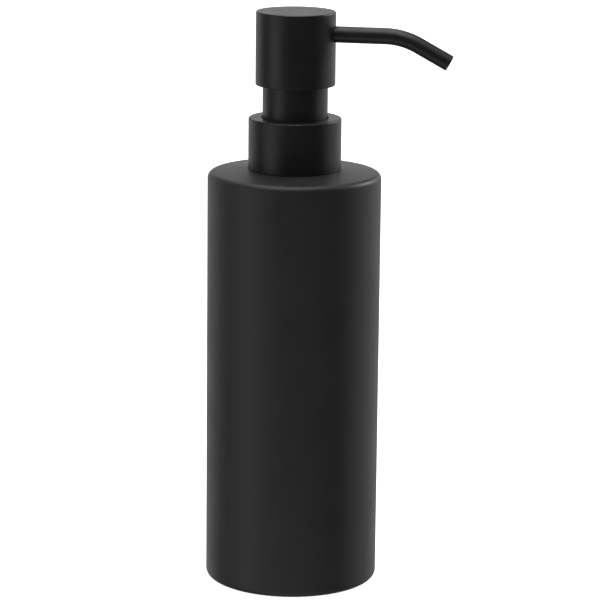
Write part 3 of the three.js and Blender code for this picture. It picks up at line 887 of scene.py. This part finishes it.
def noise_node(made, where, feature, detail, stretch=None):
    """A noise whose features are about that many millimetres across. stretch scales its three axes."""
    nodes, links = made.node_tree.nodes, made.node_tree.links
    texture = nodes.new("ShaderNodeTexNoise")
    texture.inputs["Scale"].default_value = 1 / (feature * MM)
    texture.inputs["Detail"].default_value = detail
    if stretch:
        mapping = nodes.new("ShaderNodeMapping")
        mapping.inputs["Scale"].default_value = stretch
        links.new(where, mapping.inputs["Vector"])
        where = mapping.outputs["Vector"]
    links.new(where, texture.inputs["Vector"])
    return texture.outputs["Fac"]


def vary_colour(made, shader, factor, dark, light):
    nodes, links = made.node_tree.nodes, made.node_tree.links
    ramp = nodes.new("ShaderNodeValToRGB")
    ramp.color_ramp.elements[0].position = NOISE_LOW
    ramp.color_ramp.elements[0].color = (*dark, 1)
    ramp.color_ramp.elements[1].position = NOISE_HIGH
    ramp.color_ramp.elements[1].color = (*light, 1)
    links.new(factor, ramp.inputs["Fac"])
    links.new(ramp.outputs["Color"], shader.inputs["Base Color"])


def vary_roughness(made, shader, factor, low, high):
    nodes, links = made.node_tree.nodes, made.node_tree.links
    ranged = nodes.new("ShaderNodeMapRange")
    ranged.inputs["From Min"].default_value = NOISE_LOW
    ranged.inputs["From Max"].default_value = NOISE_HIGH
    ranged.inputs["To Min"].default_value = low
    ranged.inputs["To Max"].default_value = high
    links.new(factor, ranged.inputs["Value"])
    links.new(ranged.outputs["Result"], shader.inputs["Roughness"])


def add_bump(made, shader, height, depth, strength):
    """Adds a bump of that depth in millimetres on top of the shader's earlier ones."""
    nodes, links = made.node_tree.nodes, made.node_tree.links
    bump = nodes.new("ShaderNodeBump")
    bump.inputs["Distance"].default_value = depth * MM
    bump.inputs["Strength"].default_value = strength
    links.new(height, bump.inputs["Height"])
    for link in shader.inputs["Normal"].links:
        links.new(link.from_socket, bump.inputs["Normal"])
    links.new(bump.outputs["Normal"], shader.inputs["Normal"])


def matt_glaze():
    """Matt black glaze on stoneware: slow tonal clouds, a fine eggshell grain and a few pinholes."""
    made, shader, where = new_material("matt_glaze")
    clouds = noise_node(made, where, feature=16, detail=4)
    grain = noise_node(made, where, feature=0.35, detail=2)
    pores = noise_node(made, where, feature=1.4, detail=5)
    vary_colour(made, shader, clouds, dark=(0.018, 0.018, 0.018), light=(0.023, 0.023, 0.023))
    vary_roughness(made, shader, clouds, low=0.45, high=0.51)
    add_bump(made, shader, pores, depth=0.02, strength=0.35)
    add_bump(made, shader, grain, depth=0.01, strength=0.5)
    return made


def black_coat():
    """Satin black powder coat on steel: a fine orange peel with an even tone."""
    made, shader, where = new_material("black_coat")
    clouds = noise_node(made, where, feature=9, detail=3)
    peel = noise_node(made, where, feature=0.8, detail=1)
    grain = noise_node(made, where, feature=0.15, detail=2)
    vary_colour(made, shader, clouds, dark=(0.0065, 0.0065, 0.007), light=(0.009, 0.009, 0.0095))
    vary_roughness(made, shader, clouds, low=0.37, high=0.43)
    add_bump(made, shader, peel, depth=0.012, strength=0.35)
    add_bump(made, shader, grain, depth=0.004, strength=0.5)
    return made


def moulded_plastic(name, dark, light, roughness, translucency):
    """Moulded plastic: an even colour with faint flow clouds and a fine mould texture."""
    made, shader, where = new_material(name)
    flow = noise_node(made, where, feature=12, detail=2, stretch=(1, 1, 0.3))
    grain = noise_node(made, where, feature=0.25, detail=2)
    vary_colour(made, shader, flow, dark, light)
    low = roughness - PLASTIC_ROUGHNESS_SPREAD
    high = roughness + PLASTIC_ROUGHNESS_SPREAD
    vary_roughness(made, shader, flow, low, high)
    shader.inputs["Subsurface Weight"].default_value = translucency
    shader.inputs["Subsurface Radius"].default_value = (1.0, 1.0, 1.0)
    shader.inputs["Subsurface Scale"].default_value = PLASTIC_SCATTER * MM
    add_bump(made, shader, grain, depth=0.006, strength=0.4)
    return made


def black_plastic():
    return moulded_plastic(
        "black_plastic",
        dark=(0.008, 0.008, 0.008),
        light=(0.011, 0.011, 0.011),
        roughness=0.45,
        translucency=0,
    )


def natural_plastic():
    return moulded_plastic(
        "natural_plastic",
        dark=(0.72, 0.71, 0.66),
        light=(0.78, 0.77, 0.72),
        roughness=0.4,
        translucency=0.35,
    )


def soft_plastic():
    return moulded_plastic(
        "soft_plastic",
        dark=(0.66, 0.70, 0.69),
        light=(0.72, 0.75, 0.74),
        roughness=0.45,
        translucency=0.5,
    )


def rubber():
    """Matt black silicone rubber: dull, with a slightly uneven skin."""
    made, shader, where = new_material("rubber", specular=0.35)
    clouds = noise_node(made, where, feature=6, detail=3)
    grain = noise_node(made, where, feature=0.3, detail=3)
    vary_colour(made, shader, clouds, dark=(0.010, 0.010, 0.010), light=(0.015, 0.015, 0.015))
    vary_roughness(made, shader, clouds, low=0.74, high=0.86)
    add_bump(made, shader, grain, depth=0.02, strength=0.6)
    return made


def steel():
    """Drawn stainless steel: fine streaks and a few duller patches."""
    made, shader, where = new_material("steel", metallic=1.0)
    patches = noise_node(made, where, feature=3, detail=3)
    streaks = noise_node(made, where, feature=0.2, detail=2, stretch=(1, 1, 8))
    vary_colour(made, shader, patches, dark=(0.48, 0.48, 0.49), light=(0.60, 0.60, 0.60))
    vary_roughness(made, shader, patches, low=0.22, high=0.34)
    add_bump(made, shader, streaks, depth=0.004, strength=0.4)
    return made


MATERIALS = {
    "matt_glaze": matt_glaze(),
    "black_coat": black_coat(),
    "black_plastic": black_plastic(),
    "natural_plastic": natural_plastic(),
    "soft_plastic": soft_plastic(),
    "rubber": rubber(),
    "steel": steel(),
}


# ---- Assembly -----------------------------------------------------------------------------


def place(piece, node):
    """Gives the piece its finish and its body, and hides the CAD node that it stands for."""
    shade(piece)
    piece.data.materials.clear()
    piece.data.materials.append(MATERIALS[SLOT_OF[node]])
    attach(piece, BODY_OF[node])
    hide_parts(node)
    return piece


MAKERS = {
    "bottle": make_bottle,
    "base_pad": make_base_pad,
    "neck_insert": make_neck_insert,
    "neck_gasket": make_neck_gasket,
    "pump_housing": make_pump_housing,
    "dip_tube": make_dip_tube,
    "inlet_ball": make_inlet_ball,
    "ball_cage": make_ball_cage,
    "spring": make_spring,
    "stem": make_stem,
    "stem_plug": make_stem_plug,
    "piston": make_piston,
    "chaplet": make_chaplet,
    "stem_seal": make_stem_seal,
    "guide_sleeve": make_guide_sleeve,
    "closure": make_closure,
    "collar_shell": make_collar_shell,
    "head_shell": make_head_shell,
    "head_core": make_head_core,
    "spout_tube": make_spout_tube,
    "spout_liner": make_spout_liner,
}
pieces = {node: place(maker(), node) for node, maker in MAKERS.items()}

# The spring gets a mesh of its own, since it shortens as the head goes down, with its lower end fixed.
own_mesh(pieces["spring"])


# ---- Stage, light and camera --------------------------------------------------------------

# From here on, lengths are in metres.
WHITE = (1, 1, 1, 1)
FLOOR_RADIUS = 6.0
FLOOR_SIDES = 96
FLOOR_COLOUR = (0.8, 0.8, 0.8, 1)
FLOOR_ROUGHNESS = 0.9
FLOOR_GLOW = 1.0
FILL_STRENGTH = 0.1
BACKDROP_STRENGTH = 1.0
AIM_HEIGHT = 0.1  # every light faces this point on the bottle's axis

CAMERA_TURN = math.radians(11)  # the spout points this far towards the camera
CAMERA_DISTANCE = 0.9773
CAMERA_HEIGHT = 0.3215
CAMERA_SIDE = 0.00235
CAMERA_PITCH = math.radians(12.81)
CAMERA_ROLL = math.radians(0.6)
CAMERA_LENS = 173.0
CAMERA_SENSOR = 36.0
CAMERA_NEAR = 0.05
CAMERA_FAR = 50.0

# Each light's azimuth and elevation in degrees, distance, width, height and radiance.
# Azimuth 0 is behind the camera, and 90 is to its right.
LIGHTS = {
    "left_panel": (-62, -4, 1.3, 0.85, 1.5, 0.76),
    "left_rear_panel": (-138, -2, 1.4, 1.3, 1.4, 0.62),
    "right_panel": (108, -2, 1.3, 1.1, 1.5, 0.5),
    "right_rear_panel": (144, 0, 1.4, 0.8, 1.3, 0.64),
    "right_lamp": (120, 28, 1.3, 0.28, 0.28, 22.0),
    "back_panel": (180, 3, 1.7, 1.1, 1.2, 0.95),
    "top_panel": (-30, 83, 1.2, 1.0, 1.2, 2.6),
    "top_rear_panel": (-170, 56, 1.2, 0.8, 0.7, 1.1),
    "table_glow": (0, -50, 0.8, 1.2, 0.7, 0.6),
    "table_rear_glow": (180, -50, 0.8, 1.2, 0.8, 0.25),
}


def floor_material():
    made = bpy.data.materials.new("pale_floor")
    made.use_nodes = True
    shader = made.node_tree.nodes["Principled BSDF"]
    shader.inputs["Base Color"].default_value = FLOOR_COLOUR
    shader.inputs["Roughness"].default_value = FLOOR_ROUGHNESS
    shader.inputs["Specular IOR Level"].default_value = 0.0
    shader.inputs["Emission Color"].default_value = WHITE
    shader.inputs["Emission Strength"].default_value = FLOOR_GLOW
    return made


def make_floor():
    """A pale floor disc that only the camera sees."""
    bm = bmesh.new()
    bmesh.ops.create_circle(bm, cap_ends=True, segments=FLOOR_SIDES, radius=FLOOR_RADIUS)
    bm.faces.ensure_lookup_table()
    if bm.faces[0].normal.z < 0:
        bmesh.ops.reverse_faces(bm, faces=bm.faces)
    mesh = bpy.data.meshes.new("floor")
    bm.to_mesh(mesh)
    bm.free()
    floor = bpy.data.objects.new("floor", mesh)
    bpy.context.scene.collection.objects.link(floor)
    floor.data.materials.append(floor_material())
    floor.visible_glossy = False
    floor.visible_diffuse = False
    floor.visible_shadow = False


def make_light(name, azimuth, elevation, distance, width, height, radiance):
    """A soft panel that faces the object."""
    turn = CAMERA_TURN + math.radians(azimuth)
    lift = math.radians(elevation)
    out = Vector(
        (
            math.sin(turn) * math.cos(lift),
            -math.cos(turn) * math.cos(lift),
            math.sin(lift),
        )
    )
    data = bpy.data.lights.new(name, "AREA")
    data.shape = "RECTANGLE"
    data.size = width
    data.size_y = height
    data.energy = radiance * width * height * math.pi
    light = bpy.data.objects.new(name, data)
    light.location = Vector((0, 0, AIM_HEIGHT)) + out * distance
    light.rotation_euler = out.to_track_quat("Z", "Y").to_euler()
    light.visible_camera = False
    bpy.context.scene.collection.objects.link(light)


def make_world():
    """White to the camera, and a dim even fill for the surfaces."""
    world = bpy.data.worlds.new("studio")
    bpy.context.scene.world = world
    world.use_nodes = True
    nodes, links = world.node_tree.nodes, world.node_tree.links
    fill = nodes["Background"]
    fill.inputs["Color"].default_value = WHITE
    fill.inputs["Strength"].default_value = FILL_STRENGTH
    backdrop = nodes.new("ShaderNodeBackground")
    backdrop.inputs["Color"].default_value = WHITE
    backdrop.inputs["Strength"].default_value = BACKDROP_STRENGTH
    path = nodes.new("ShaderNodeLightPath")
    mix = nodes.new("ShaderNodeMixShader")
    links.new(path.outputs["Is Camera Ray"], mix.inputs["Fac"])
    links.new(fill.outputs["Background"], mix.inputs[1])
    links.new(backdrop.outputs["Background"], mix.inputs[2])
    links.new(mix.outputs["Shader"], nodes["World Output"].inputs["Surface"])


def make_camera():
    """A level turn round the object, a step back and up, then a tilt down."""
    data = bpy.data.cameras.new("camera")
    data.lens = CAMERA_LENS
    data.sensor_width = CAMERA_SENSOR
    data.clip_start = CAMERA_NEAR
    data.clip_end = CAMERA_FAR
    camera = bpy.data.objects.new("camera", data)
    camera.matrix_world = (
        Matrix.Rotation(CAMERA_TURN, 4, "Z")
        @ Matrix.Translation((CAMERA_SIDE, -CAMERA_DISTANCE, CAMERA_HEIGHT))
        @ Matrix.Rotation(math.pi / 2 - CAMERA_PITCH, 4, "X")
        @ Matrix.Rotation(CAMERA_ROLL, 4, "Z")
    )
    bpy.context.scene.collection.objects.link(camera)
    bpy.context.scene.camera = camera


make_floor()
make_world()
for light_name, light_place in LIGHTS.items():
    make_light(light_name, *light_place)
make_camera()
bpy.context.scene.view_settings.view_transform = "Standard"
